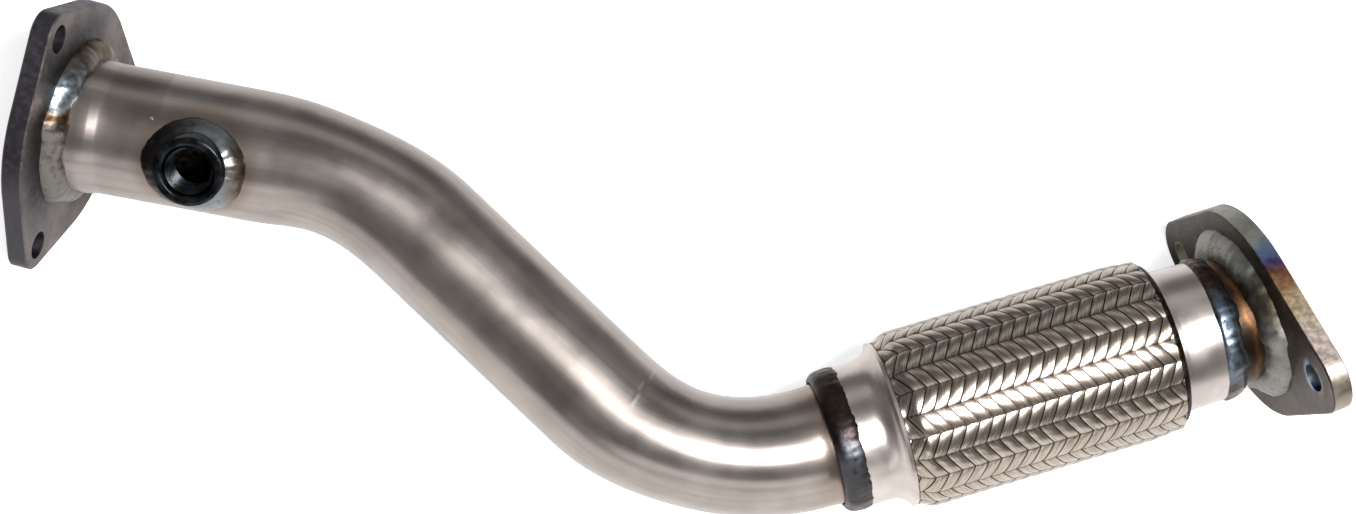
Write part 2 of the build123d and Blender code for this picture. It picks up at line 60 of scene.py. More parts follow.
# Lengths in millimetres, angles in degrees; a bend is its radius and its angle
TUBE_RADIUS = 25.4
TUBE_WALL = 1.6
EXPANDED_RADIUS = 26.2
EXPANDED_BY = 0.8
TUBE_START, EXPANDED_END, CONE_END = -4, 17, 22
INLET_RUN = 89.5
FIRST_BEND = (108.0, 33.0)
MIDDLE_RUN = 91.0
SECOND_BEND = (85.0, 60.0)
REAR_RUN = 10.0
REAR_SIZING_RUN = 8.0
REAR_INSERT = 14.0
REAR_RADIUS = 23.8
COUPLING_HEADING = SECOND_BEND[1] - FIRST_BEND[1]
MITRE_STATION = 149.5
OUTLET_STUB = 16.8
FLANGE_THICKNESS = 8.0
PORT_STATION = 59.5
PORT_LEAN = 26.0
PORT_BORE_RADIUS = 9.2
WRINKLE_STATION = 253.5
OUTLET_BOLT_REACH = 52.0
OUTLET_FAR_BOLT_TURN = 216.6


def flat(angle):
    """A direction in the bend plane, by its angle from the inlet leg, before the part is laid down."""
    return Vector((math.cos(math.radians(angle)), math.sin(math.radians(angle)), 0))


FLAT_SIDE = Vector((0, 0, 1))


def leaned(angle, out):
    """A direction at an angle in the bend plane, leaned out to the port's side."""
    return flat(angle) * math.cos(math.radians(out)) + FLAT_SIDE * math.sin(math.radians(out))


first_centre = Vector((INLET_RUN, -FIRST_BEND[0], 0))
first_end = first_centre + flat(90 - FIRST_BEND[1]) * FIRST_BEND[0]
second_start = first_end + flat(-FIRST_BEND[1]) * MIDDLE_RUN
second_centre = second_start + flat(90 - FIRST_BEND[1]) * SECOND_BEND[0]
second_end = second_centre + flat(COUPLING_HEADING - 90) * SECOND_BEND[0]
coupling_base = second_end + flat(COUPLING_HEADING) * REAR_RUN
coupling_axis = flat(COUPLING_HEADING)
inlet_axis = leaned(-5.4, 6.2)
outlet_axis = leaned(COUPLING_HEADING + 6.0, -3.2)
mitre_point = coupling_base + coupling_axis * MITRE_STATION
outlet_base = mitre_point + outlet_axis * OUTLET_STUB
port_axis = (
    FLAT_SIDE * math.cos(math.radians(PORT_LEAN)) + flat(-90) * math.sin(math.radians(PORT_LEAN))
)


def laid(place):
    """A direction or point of the flat layout, as the part lies on the floor, in millimetres."""
    return LEG * place.x + ACROSS * place.y + SIDE * place.z


def place_at(point, along, across):
    """Where a piece goes: its z axis lies along the first direction, its x axis near the second."""
    z = laid(along).normalized()
    x = laid(across)
    x = (x - z * x.dot(z)).normalized()
    turned_axes = Matrix((x, z.cross(x), z)).transposed().to_4x4()
    return Matrix.Translation(laid(point) * MM) @ turned_axes


def facing(place):
    """The way that the z axis of a place points."""
    return place.to_3x3() @ Vector((0, 0, 1))


pipe_place = Matrix((LEG, ACROSS, SIDE)).transposed().to_4x4()
inlet_place = place_at(Vector((0, 0, 0)), inlet_axis, FLAT_SIDE)
tube_place = place_at(Vector((0, 0, 0)), flat(0), FLAT_SIDE)
coupling_place = place_at(coupling_base, coupling_axis, FLAT_SIDE)
outlet_place = place_at(outlet_base, outlet_axis, FLAT_SIDE)
mitre_on_floor = laid(mitre_point) * MM
port_place = place_at(flat(0) * PORT_STATION, port_axis, flat(0))

# A drop of weld spatter on the tube, near the port: how far along it lies, and how far round from the
# bend plane's side to the port's side
SPATTER_STATION, SPATTER_TURN = 41, math.radians(82)
spatter_point = Vector(
    (SPATTER_STATION, TUBE_RADIUS * math.cos(SPATTER_TURN), TUBE_RADIUS * math.sin(SPATTER_TURN))
)
spatter_on_floor = laid(spatter_point) * MM


def on_coupling(station):
    """A point on the coupling's axis, by its station, in metres."""
    return coupling_place @ Vector((0, 0, station * MM))


# ---------------------------------------------------------------------------
# Finishes
# ---------------------------------------------------------------------------

# Short names for the kinds of node that come up often, with their settings
KINDS = {
    "noise": ("ShaderNodeTexNoise", {}),
    "even": ("ShaderNodeMapRange", {"interpolation_type": "LINEAR"}),
    "eased": ("ShaderNodeMapRange", {"interpolation_type": "SMOOTHSTEP"}),
    "mix": ("ShaderNodeMix", {"data_type": "RGBA"}),
    "ramp": ("ShaderNodeValToRGB", {}),
    "split": ("ShaderNodeSeparateXYZ", {}),
    "stretch": ("ShaderNodeMapping", {}),
    "plus": ("ShaderNodeMath", {"operation": "ADD"}),
    "minus": ("ShaderNodeMath", {"operation": "SUBTRACT"}),
    "times": ("ShaderNodeMath", {"operation": "MULTIPLY"}),
    "larger": ("ShaderNodeMath", {"operation": "MAXIMUM"}),
    "unsigned": ("ShaderNodeMath", {"operation": "ABSOLUTE"}),
    "sine": ("ShaderNodeMath", {"operation": "SINE"}),
    "offset": ("ShaderNodeVectorMath", {"operation": "SUBTRACT"}),
    "dot": ("ShaderNodeVectorMath", {"operation": "DOT_PRODUCT"}),
    "cross": ("ShaderNodeVectorMath", {"operation": "CROSS_PRODUCT"}),
    "length": ("ShaderNodeVectorMath", {"operation": "LENGTH"}),
    "distance": ("ShaderNodeVectorMath", {"operation": "DISTANCE"}),
}


def linear(hex_colour):
    """An sRGB colour such as 8a8f94, as the linear values that a shader takes."""
    parts = [int(hex_colour[i:i + 2], 16) / 255 for i in (0, 2, 4)]
    return tuple(p / 12.92 if p <= 0.04045 else ((p + 0.055) / 1.055) ** 2.4 for p in parts) + (1.0,)


def plug(tree, socket, value):
    """Gives a socket a value, an sRGB hex colour or an output. A node gives its first output in use."""
    if isinstance(value, bpy.types.Node):
        value = next(output for output in value.outputs if output.enabled)
    if isinstance(value, bpy.types.NodeSocket):
        tree.links.new(value, socket)
    else:
        socket.default_value = linear(value) if isinstance(value, str) else value


def add_node(tree, kind, *sockets, named=(), stops=(), **settings):
    """Adds a node with its settings and links. Its sockets in use are given in order, or by name, and
    a ramp's stops as (position, sRGB hex)."""
    kind, usual = KINDS.get(kind, (kind, {}))
    node = tree.nodes.new(kind)
    for name, value in {**usual, **settings}.items():
        setattr(node, name, value)
    for socket, value in zip([socket for socket in node.inputs if socket.enabled], sockets):
        plug(tree, socket, value)
    for name, value in dict(named).items():
        plug(tree, node.inputs[name], value)
    for extra in stops[2:]:
        node.color_ramp.elements.new(0.5)
    for at, (position, hex_colour) in enumerate(stops):
        node.color_ramp.elements[at].position = position
        node.color_ramp.elements[at].color = linear(hex_colour)
    return node


def per(size_mm):
    """Scale of a noise whose patches have a size in millimetres."""
    return 1 / (size_mm * MM)


def begin_finish(name):
    """A new metal, the function that adds a node to it, and the coordinates that its patterns read."""
    material = bpy.data.materials.new(name)
    material.use_nodes = True
    add = partial(add_node, material.node_tree)
    return material, add, add("ShaderNodeTexCoord").outputs["Object"]


def end_finish(material, tone, rough, height, depth_mm, **others):
    """Gives a metal its colour, roughness and bump, whose full height is a depth in millimetres."""
    tree = material.node_tree
    relief = {"Height": height, "Distance": depth_mm * MM, "Strength": 1.0}
    normal = add_node(tree, "ShaderNodeBump", named=relief)
    looks = {"Metallic": 1.0, "Base Color": tone, "Roughness": rough, "Normal": normal, **others}
    for name, value in looks.items():
        plug(tree, tree.nodes["Principled BSDF"].inputs[name], value)
    return material


def height_over(add, place, base, axis):
    """Height over a point along a direction of the frame, in metres."""
    return add("dot", add("offset", place, base), axis)


def round_axis(add, place, point, axis):
    """Distance from an axis of the frame, in metres."""
    return add("length", add("cross", add("offset", place, point), axis))


def satin_tube_steel():
    """Drawn stainless tube, satin and a little blotchy: soft streaks run along it, it is brown in a
    narrow ring where a weld heated it, and it keeps a wide soft highlight."""
    material, add, place = begin_finish("satin_tube_steel")
    straight = add("ShaderNodeAttribute", attribute_name="straight").outputs["Vector"]
    apart = add("split", straight).outputs
    cloud = add("noise", place, per(26), 3.0, 0.55)
    along_tube = add("stretch", named={"Vector": straight, "Scale": (1, 1, 0.05)})
    streak = add("noise", along_tube, per(3.0), 2.0, 0.5)
    fine = add("noise", place, per(1.1), 2.0, 0.55)
    tone = add("mix", add("eased", cloud, 0.3, 0.7), "9a918b", "b0a7a1")
    tone = add("mix", add("eased", streak, 0.4, 0.75, 0.0, 0.35), tone, "867e79")
    # A darker stretch from the expanded end to a faint step by the port
    begins = add("eased", apart["Z"], 0.0215, 0.0235)
    ends = add("eased", apart["Z"], 0.0425, 0.0445, 1.0, 0.0)
    step = add("times", add("times", begins, ends), add("eased", apart["X"], -0.004, 0.010, 0.35, 1.0))
    tone = add("mix", add("times", step, 0.4), tone, "7d726b")
    # Brown where the welds heated it: right round the port and next to the coupling
    port_foot = port_place @ Vector((0, 0, 0.024))
    port_heat = add("eased", add("distance", place, port_foot), 0.0195, 0.0265, 1.0, 0.0)
    joint_heat = add("eased", add("distance", place, on_coupling(-2)), 0.0245, 0.0300, 1.0, 0.0)
    heat = add("larger", port_heat, joint_heat)
    heat = add("times", heat, add("eased", cloud, 0.2, 0.8, 0.5, 1.0))
    tone = add("mix", add("times", heat, 0.6), tone, "7d6450")
    # A drop of spatter by the port
    drop = add("eased", add("distance", place, spatter_on_floor), 0.0006, 0.0010, 1.0, 0.0)
    tone = add("mix", drop, tone, "cdc8c3")
    # The small crease that bending left across the inner side of the second bend
    from_crease = add("minus", apart["Z"], WRINKLE_STATION * MM)
    from_crease = add("plus", from_crease, add("times", apart["Y"], -0.09))
    crease = add("eased", add("unsigned", from_crease), 0.0, 0.0017, 1.0, 0.0)
    crease = add("times", crease, add("eased", apart["X"], 0.002, 0.014))
    height = add("plus", add("times", fine, 0.25), streak)
    height = add("plus", height, add("times", crease, 5.0))
    height = add("plus", height, add("times", drop, 12.0))
    return end_finish(material, tone, add("eased", cloud, 0.25, 0.75, 0.27, 0.34), height, 0.04)


def near_black_steel(name, dark, pale):
    """Nearly black steel with dull high spots: painted shade inside the tube, and on the end ring a dark
    finish with painted shade of the gap beside it.
    """
    material, add, place = begin_finish(name)
    spots = add("noise", place, per(2.4), 3.0, 0.55)
    tone = add("mix", add("eased", spots, 0.4, 0.75), dark, pale)
    return end_finish(material, tone, add("eased", spots, 0.3, 0.7, 0.42, 0.6), spots, 0.2)


def burnt_shaded_stub_steel():
    """The short stub between two welds: black brown, partly burnt and partly painted shade of the hollow
    between the beads, with a golden brown ring of heat tint.
    """
    material, add, place = begin_finish("burnt_shaded_stub_steel")
    cloud = add("noise", place, per(7), 3.0, 0.55)
    run = height_over(add, place, mitre_on_floor, facing(outlet_place))
    run = add("even", run, 0.0, OUTLET_STUB * MM, 0.0, 1.0)
    run = add("plus", run, add("even", cloud, 0.25, 0.75, -0.08, 0.08))
    tone = add("ramp", run, stops=[
        (0.0, "2b2421"), (0.42, "3f3128"), (0.52, "6a4b30"), (0.6, "4d392b"), (1.0, "2c2521"),
    ])
    return end_finish(material, tone, 0.38, add("noise", place, per(1.4), 2.0, 0.55), 0.04)


def mottled_plate_steel():
    """Laser cut plate steel with its mill skin: grey and mottled on the face, slate blue on the cut
    rim, dull, with a fine grit, and a painted shadow round the weld on the port's side."""
    material, add, place = begin_finish("mottled_plate_steel")
    cloud = add("noise", place, per(12), 3.0, 0.55)
    spots = add("noise", place, per(2.6), 3.0, 0.55)
    tone = add("mix", add("eased", cloud, 0.3, 0.7), "5a5354", "7a7270")
    tone = add("mix", add("eased", spots, 0.45, 0.75, 0.0, 0.6), tone, "8f8783")
    middle, axis = inlet_place.translation, facing(inlet_place)
    height = height_over(add, place, middle, axis)
    cut = add("times", add("eased", height, 0.0002, 0.0008), add("eased", height, 0.0072, 0.0078, 1.0, 0.0))
    cut = add("times", cut, add("eased", cloud, 0.2, 0.8, 0.7, 1.0))
    # Painted shadow: darker round the weld on the port's side of the plate
    painted_weld_shadow = add("eased", round_axis(add, place, middle, axis), 0.036, 0.052, 0.9, 0.0)
    near_side = add("eased", height_over(add, place, middle, laid(FLAT_SIDE)), -0.012, 0.022)
    tone = add("mix", add("times", painted_weld_shadow, near_side), tone, "28262a")
    tone = add("mix", cut, tone, "4c4a52")
    grit = add("noise", place, per(0.9), 2.0, 0.55)
    return end_finish(material, tone, add("eased", spots, 0.3, 0.7, 0.40, 0.54), grit, 0.06)


def heat_tinted_plate_steel():
    """The outlet's plate: dark brown face, and temper colours along its rim where the weld's heat ran
    out, from blue grey through purple and copper to gold and pale straw. The near bolt hole has run
    blue and brown too; the far one's wall is painted pale, a painted highlight."""
    material, add, place = begin_finish("heat_tinted_plate_steel")
    cloud = add("noise", place, per(12), 3.0, 0.55)
    spots = add("noise", place, per(2.2), 3.0, 0.55)
    tone = add("mix", add("eased", cloud, 0.3, 0.7), "3a322d", "4e443c")
    tone = add("mix", add("eased", spots, 0.45, 0.75, 0.0, 0.5), tone, "6e655b")
    middle, axis = outlet_place.translation, facing(outlet_place)
    far_turn = math.radians(OUTLET_FAR_BOLT_TURN)
    far_way = outlet_place.to_3x3() @ Vector((math.cos(far_turn), math.sin(far_turn), 0))
    along = height_over(add, place, middle, far_way)
    wander = add("even", add("noise", place, per(9), 2.0, 0.55), 0.2, 0.8, -0.03, 0.03)
    run = add("plus", add("even", along, -0.066, 0.066, 0.0, 1.0), wander)
    temper = add("ramp", run, stops=[
        (0.0, "9c9285"), (0.07, "ead8cf"), (0.15, "dccdb6"), (0.21, "c8b391"), (0.26, "a98561"),
        (0.295, "7f5242"), (0.32, "4c4270"), (0.36, "6c7f9f"), (0.41, "b0b3a6"), (0.5, "a3a396"),
        (0.62, "77716c"), (1.0, "5c554f"),
    ])
    share = add("eased", height_over(add, place, middle, axis), 0.0002, 0.0008, 0.0, 0.95)
    tone = add("mix", share, tone, temper)
    # The wall of each bolt hole, and round the near one its face too; the far one's pale wall is a painted
    # highlight
    to_bolt = far_way * OUTLET_BOLT_REACH * MM
    for point, reach, colours in (
        (middle - to_bolt, 0.0088, [
            (0.0, "4a4438"), (0.16, "6e6650"), (0.34, "74582f"), (0.46, "3a2a4a"), (0.56, "32407c"),
            (0.7, "93aabc"), (0.84, "84929a"), (1.0, "4a4440"),
        ]),
        (middle + to_bolt, 0.0060, [(0.0, "a8a396"), (0.6, "c8c3b6"), (1.0, "8a847a")]),
    ):
        in_hole = add("eased", round_axis(add, place, point, axis), 0.0057, reach, 1.0, 0.0)
        across = add("even", height_over(add, place, point, far_way), -0.0085, 0.0085, 0.0, 1.0)
        tone = add("mix", in_hole, tone, add("ramp", across, stops=colours))
    grit = add("noise", place, per(1.0), 2.0, 0.55)
    return end_finish(material, tone, add("eased", spots, 0.3, 0.7, 0.34, 0.48), grit, 0.05)


def lumpy_weld_metal(name, colours, way, rough):
    """Weld metal in smooth lumps: brown, olive or black where it burnt, silvery in bands partly clean and
    partly painted highlight.
    The colours follow a direction of the frame, given with a point and a reach in mm."""
    material, add, place = begin_finish(name)
    cloud = add("noise", place, per(9), 3.0, 0.55)
    spots = add("noise", place, per(2.6), 2.0, 0.55)
    point, direction, reach = way
    run = add("even", height_over(add, place, point, direction), -reach * MM, reach * MM, 0.0, 1.0)
    run = add("plus", run, add("even", cloud, 0.25, 0.75, -0.07, 0.07))
    tone = add("ramp", run, stops=colours)
    # Darker where the bump is low, in the hollows between lumps
    tone = add("mix", add("eased", spots, 0.5, 0.25, 0.0, 0.45), tone, "2e2a28")
    return end_finish(material, tone, add("eased", spots, 0.3, 0.7, rough, rough + 0.12), spots, 0.14)


def cloudy_steel(name, cloud_mm, spread, colours, rough, grit, depth_mm):
    """Steel whose colour and dullness change in soft patches, with a grit of a size and detail."""
    material, add, place = begin_finish(name)
    cloud = add("noise", place, per(cloud_mm), 3.0, 0.55)
    tone = add("mix", add("eased", cloud, *spread), *colours)
    grain = add("noise", place, per(grit[0]), grit[1], 0.55)
    return end_finish(material, tone, add("eased", cloud, 0.3, 0.7, *rough), grain, depth_mm)


BUNDLE_WIRES = 6


def braid_wire_steel():
    """Bundles of fine bright stainless wire. A wire is 0.4 mm, drawn as 6 to a bundle, which is as
    fine as the picture shows. Each bundle glints along its length, with painted shade in the grooves
    between its wires and a painted dark line where it meets or dives under the next."""
    material, add, place = begin_finish("braid_wire_steel")
    strip = add("ShaderNodeUVMap", uv_map="strip")
    across = add("split", strip).outputs["Y"]
    wire = add("unsigned", add("sine", add("times", across, BUNDLE_WIRES * math.pi)))
    streak = add("noise", add("stretch", named={"Vector": strip, "Scale": (0.6, 5.0, 1.0)}), 1.0, 1.0)
    tone = add("mix", add("eased", streak, 0.3, 0.7), "9a8d80", "b9aea3")
    # Painted shade in the grooves between the wires
    tone = add("mix", add("eased", wire, 0.0, 0.4, 0.24, 0.0), tone, "4a4038")
    # Painted shade: dark at the two edges and where the bundle goes under
    edge = add("eased", add("unsigned", add("minus", across, 0.5)), 0.42, 0.49)
    lift = add("ShaderNodeAttribute", attribute_name="lift").outputs["Fac"]
    tone = add("mix", add("larger", edge, add("eased", lift, 0.0, 0.35, 0.75, 0.0)), tone, "241c17")
    # Light spreads square to the wires
    tangent = add("ShaderNodeTangent", direction_type="UV_MAP", uv_map="strip")
    glint = {"Tangent": tangent, "Anisotropic": 0.2, "Anisotropic Rotation": 0.25}
    return end_finish(material, tone, 0.27, wire, 0.012, **glint)


tube_steel = satin_tube_steel()
inlet_plate = mottled_plate_steel()
outlet_plate = heat_tinted_plate_steel()
# Painted shade: the tube's inside is coloured nearly black
inside_shade = near_black_steel("painted_shade_inside_tube", "191614", "3a342f")
# The silvery blue band across this ramp's middle is a painted highlight; olive, brown and grey are the
# bead's burnt colours
inlet_weld = lumpy_weld_metal("lumpy_weld_inlet", [
    (0.0, "77736e"), (0.36, "7f7a75"), (0.42, "5c4632"), (0.48, "6a563f"), (0.53, "b4bcc2"),
    (0.62, "8996a0"), (0.72, "6b6761"), (0.86, "665d50"), (1.0, "574935"),
], (inlet_place.translation, laid(flat(90)), 34), 0.32)
# Dark on one side and silver grey on the other: partly the bead's burnt colour, partly painted light and
# shade from the lamp's side
port_weld_skin = lumpy_weld_metal("lumpy_weld_port", [
    (0.0, "2c2726"), (0.3, "3a3636"), (0.45, "5e6063"), (0.75, "8d9094"), (0.9, "77746f"),
    (1.0, "5c4333"),
], (port_place.translation, laid(flat(0)), 19), 0.32)
# The blue grey band in this ramp is a painted glint on the dark brown burnt bead
joint_weld = lumpy_weld_metal("lumpy_weld_joint", [
    (0.0, "3a3230"), (0.35, "55575c"), (0.5, "30292a"), (0.7, "3d342f"), (1.0, "2a211d"),
], (coupling_place.translation, laid(flat(117)), 28), 0.34)
rear_weld = lumpy_weld_metal("lumpy_weld_rear", [
    (0.0, "4b4038"), (0.2, "6f7780"), (0.45, "76828f"), (0.62, "5f6a78"), (0.8, "4a3a30"),
    (1.0, "33291f"),
], (on_coupling(150), laid(flat(117)), 28), 0.30)
outlet_weld = lumpy_weld_metal("lumpy_weld_outlet", [
    (0.0, "8b8884"), (0.3, "888580"), (0.45, "5a5546"), (0.6, "4b463c"), (0.72, "7d7c76"),
    (1.0, "8a8983"),
], (outlet_place.translation, laid(flat(117)), 36), 0.44)
burnt_shaded_stub = burnt_shaded_stub_steel()
# Bright pressed stainless sheet: smooth and pale, a little uneven from pressing
collar_sheet = cloudy_steel(
    "pressed_collar_sheet", 16, (0.3, 0.7), ("b8aea8", "d0c7c1"), (0.28, 0.36), (1.4, 3.0), 0.02
)
# Turned boss, dark gunmetal, glossier than the nearly black finishes round it
port_steel = cloudy_steel(
    "turned_port_steel", 6, (0.35, 0.7), ("202123", "383c40"), (0.24, 0.36), (0.9, 2.0), 0.05
)
# The end ring's own dark finish together with painted shade of the gap between braid and collar
ring_steel = near_black_steel("dark_end_ring_and_shade", "1d1916", "4a433d")
# Thin sheet inside the coupling, plain grey, dulled
inner_steel = cloudy_steel(
    "inner_sheet_steel", 9, (0.3, 0.7), ("6d6966", "8b8682"), (0.36, 0.48), (1.2, 2.0), 0.05
)
wire_steel = braid_wire_steel()

# ---------------------------------------------------------------------------
# Making pieces
# ---------------------------------------------------------------------------


def start(name):
    """Names the primitive just added."""
    piece = bpy.context.object
    piece.name = name
    piece.data.name = name
    return piece


def alone(piece):
    """Selects one piece and nothing else."""
    bpy.ops.object.select_all(action="DESELECT")
    piece.select_set(True)
    bpy.context.view_layer.objects.active = piece


def set_down(piece, place):
    """Puts a piece at its place in the frame, with the place kept in its mesh."""
    piece.data.transform(place @ piece.matrix_world)
    piece.matrix_world = Matrix.Identity(4)


def smoothed(piece, angle=40):
    """Shades a piece smooth, with its edges kept sharp past an angle."""
    alone(piece)
    bpy.ops.object.shade_smooth_by_angle(angle=math.radians(angle))


def closed_up(piece):
    """Merges a piece's doubles and turns its faces outwards."""
    alone(piece)
    bpy.ops.object.mode_set(mode="EDIT")
    bpy.ops.mesh.select_all(action="SELECT")
    bpy.ops.mesh.remove_doubles(threshold=0.002 * MM)
    bpy.ops.mesh.normals_make_consistent(inside=False)
    bpy.ops.object.mode_set(mode="OBJECT")


def finished(piece, material, body, slot, *nodes):
    """Gives a piece its finish, lets it ride on its body and hides the nodes that it stands for."""
    if material is not None:
        piece.data.materials.clear()
        piece.data.materials.append(material)
    if body is not None:
        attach(piece, body)
    if nodes:
        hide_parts(*nodes)


# ---------------------------------------------------------------------------
# Tube
# ---------------------------------------------------------------------------

arc_one = math.radians(FIRST_BEND[1]) * FIRST_BEND[0]
arc_two = math.radians(SECOND_BEND[1]) * SECOND_BEND[0]
first_end_at = INLET_RUN + arc_one
second_start_at = first_end_at + MIDDLE_RUN
second_end_at = second_start_at + arc_two
rear_at = second_end_at + REAR_SIZING_RUN

# Share of the width lost in the bend plane that comes back square to it
SQUASH_SPREAD = 0.25

# Width in the bend plane, as shares of the diameter, where the bending flattened the tube
tube_shares = [
    (INLET_RUN - 10.0, 1.0),
    (INLET_RUN + arc_one * 0.4, 0.92),
    (first_end_at, 0.97),
    (second_start_at, 0.97),
    (second_start_at + arc_two * 0.5, 0.885),
    (second_end_at, 0.92),
    (rear_at, REAR_RADIUS / TUBE_RADIUS),
]


def tube_widths(station):
    """Half widths of the tube in the bend plane and square to it, in millimetres."""
    if station <= EXPANDED_END:
        return EXPANDED_RADIUS, EXPANDED_RADIUS
    if station <= CONE_END:
        radius = EXPANDED_RADIUS - EXPANDED_BY * (station - EXPANDED_END) / (CONE_END - EXPANDED_END)
        return radius, radius
    if station <= tube_shares[0][0]:
        return TUBE_RADIUS, TUBE_RADIUS
    for (begin, before), (end, after) in zip(tube_shares, tube_shares[1:]):
        if station <= end:
            eased = (1 - math.cos(math.pi * (station - begin) / (end - begin))) / 2
            share = before + (after - before) * eased
            spread = 1 + SQUASH_SPREAD * (1 - share)
            if end == rear_at:
                spread += (REAR_RADIUS / TUBE_RADIUS - spread) * eased
            return TUBE_RADIUS * share, TUBE_RADIUS * spread
    return REAR_RADIUS, REAR_RADIUS


def tube_centre(station):
    """Centre of the tube in the flat layout, and its heading there in degrees."""
    if station <= INLET_RUN:
        return flat(0) * station, 0.0
    if station <= first_end_at:
        turn = math.degrees((station - INLET_RUN) / FIRST_BEND[0])
        return first_centre + flat(90 - turn) * FIRST_BEND[0], -turn
    if station <= second_start_at:
        return first_end + flat(-FIRST_BEND[1]) * (station - first_end_at), -FIRST_BEND[1]
    if station <= second_end_at:
        turn = math.degrees((station - second_start_at) / SECOND_BEND[0])
        return second_centre + flat(turn - FIRST_BEND[1] - 90) * SECOND_BEND[0], turn - FIRST_BEND[1]
    return second_end + flat(COUPLING_HEADING) * (station - second_end_at), COUPLING_HEADING


def evenly(begin, end, steps):
    """Stations after the first one, evenly spaced."""
    return [begin + (end - begin) * (step + 1) / steps for step in range(steps)]


tube_stations = [TUBE_START]
run_start = TUBE_START
for run_end, steps in (
    (EXPANDED_END, 6), (CONE_END, 5), (INLET_RUN, 18), (first_end_at, 20), (second_start_at, 24),
    (second_end_at, 34), (rear_at, 4), (second_end_at + REAR_RUN + REAR_INSERT, 6),
):
    tube_stations += evenly(run_start, run_end, steps)
    run_start = run_end

bpy.ops.object.select_all(action="DESELECT")
bpy.ops.mesh.primitive_circle_add(
    vertices=112, radius=EXPANDED_RADIUS * MM, location=(TUBE_START * MM, 0, 0),
    rotation=(0, math.pi / 2, 0),
)
tube = start("tube")
bpy.ops.object.transform_apply(location=True, rotation=True, scale=True)
bpy.ops.object.mode_set(mode="EDIT")
bpy.ops.mesh.select_all(action="SELECT")
bmesh.from_edit_mesh(tube.data).verts.layers.float_vector.new("straight")


def note_straight(station):
    """Stores where each vertex of the newest ring would be on the tube if it were straight."""
    mesh = bmesh.from_edit_mesh(tube.data)
    layer = mesh.verts.layers.float_vector["straight"]
    centre, angle = tube_centre(station)
    for vertex in mesh.verts:
        if vertex.select:
            off = vertex.co - centre * MM
            vertex[layer] = (off.dot(flat(angle + 90)), off.z, station * MM)


note_straight(tube_stations[0])
for before, station in zip(tube_stations, tube_stations[1:]):
    centre_before, angle_before = tube_centre(before)
    centre, angle = tube_centre(station)
    if abs(angle - angle_before) < 1e-6:
        bpy.ops.mesh.extrude_region_move(TRANSFORM_OT_translate={"value": (centre - centre_before) * MM})
    else:
        pivot = first_centre if angle < angle_before else second_centre
        bpy.ops.mesh.spin(
            steps=1, angle=math.radians(abs(angle - angle_before)), center=pivot * MM,
            axis=(0, 0, -1 if angle > angle_before else 1),
        )
    wide_before, high_before = tube_widths(before)
    wide, high = tube_widths(station)
    bpy.ops.transform.resize(
        value=(wide / wide_before, wide / wide_before, high / high_before), center_override=centre * MM
    )
    note_straight(station)
bpy.ops.mesh.select_all(action="SELECT")
bpy.ops.mesh.normals_make_consistent(inside=False)
bpy.ops.mesh.bisect(plane_co=inlet_axis * 2 * MM, plane_no=inlet_axis, clear_inner=True)
bpy.ops.object.mode_set(mode="OBJECT")
wall = tube.modifiers.new("wall", "SOLIDIFY")
wall.thickness = TUBE_WALL * MM
wall.offset = -1
wall.use_even_offset = True
# The wall's inner skin takes the second finish, nearly black painted shade inside the tube
wall.material_offset = 1
tube.data.materials.append(tube_steel)
tube.data.materials.append(inside_shade)
bpy.ops.object.modifier_apply(modifier="wall")
set_down(tube, pipe_place)

bpy.ops.object.select_all(action="DESELECT")
bpy.ops.mesh.primitive_cylinder_add(
    vertices=64, radius=PORT_BORE_RADIUS * MM, depth=25 * MM, location=(0, 0, 25 * MM)
)
drill = start("drill")
set_down(drill, port_place)
alone(tube)
hole = tube.modifiers.new("hole", "BOOLEAN")
hole.object = drill
hole.operation = "DIFFERENCE"
hole.solver = "EXACT"
bpy.ops.object.modifier_apply(modifier="hole")
bpy.data.objects.remove(drill)
smoothed(tube, 50)
finished(tube, None, "pipe_side", "tube_steel", "front_pipe")

# ---------------------------------------------------------------------------
# Weld beads
# ---------------------------------------------------------------------------


def weld_ring(name, radius, reach, seat, lumps, shape, turn, round_steps=300, thinned=0.0):
    """A ring of weld metal round the z axis. Its section reaches (out, in, up, down) millimetres from
    a corner at the given radius; seat gives the corner's height round the ring, and lumps are
    (size of the lumps along the bead, their share of the reach, ripple pitch, ripple height). A
    larger shape makes a fuller section, turn picks other lumps, and thinned is the share of the
    outward reach that one side lacks."""
    bpy.ops.object.select_all(action="DESELECT")
    bpy.ops.mesh.primitive_torus_add(
        major_segments=round_steps, minor_segments=24, major_radius=radius * MM, minor_radius=1 * MM
    )
    bead = start(name)
    out, inward, up, down = reach
    lump_size, lump_share, ripple_pitch, ripple_height = lumps
    for vertex in bead.data.vertices:
        x, y, z = vertex.co / MM
        angle = math.atan2(y, x)
        side_way, up_way = math.hypot(x, y) - radius, z
        length = math.hypot(side_way, up_way)
        c, s = side_way / length, up_way / length
        run = radius / lump_size
        swell = noise.fractal(Vector((math.cos(angle) * run, math.sin(angle) * run, turn)), 1.0, 2.2, 3)
        lopsided = noise.noise(Vector((math.cos(angle) * run * 1.4, math.sin(angle) * run * 1.4, turn + 7)))
        reach_out = out * (1 - thinned * max(0.0, math.sin(angle)))
        wide = reach_out * (1 + lump_share * (swell + 0.6 * lopsided)) if c > 0 else inward
        tall = up * (1 + lump_share * (swell - 0.6 * lopsided)) if s > 0 else down
        far = (abs(c / wide) ** shape + abs(s / tall) ** shape) ** (-1 / shape)
        if c > -0.3 and s > -0.3:
            crescent = angle * radius / ripple_pitch + 0.35 * math.sin(math.atan2(s, c) * 2)
            far += ripple_height * abs(math.sin(math.pi * crescent)) * min(1, (c + 0.3) * (s + 0.3) * 2)
            far += 0.12 * noise.noise(Vector((x * 0.5, y * 0.5, z * 2 + turn)))
        ring = radius + c * far
        height = s * far
        vertex.co = Vector((math.cos(angle) * ring, math.sin(angle) * ring, height))
    for vertex in bead.data.vertices:
        vertex.co.z += seat(vertex.co.x, vertex.co.y)
        vertex.co *= MM
    return bead


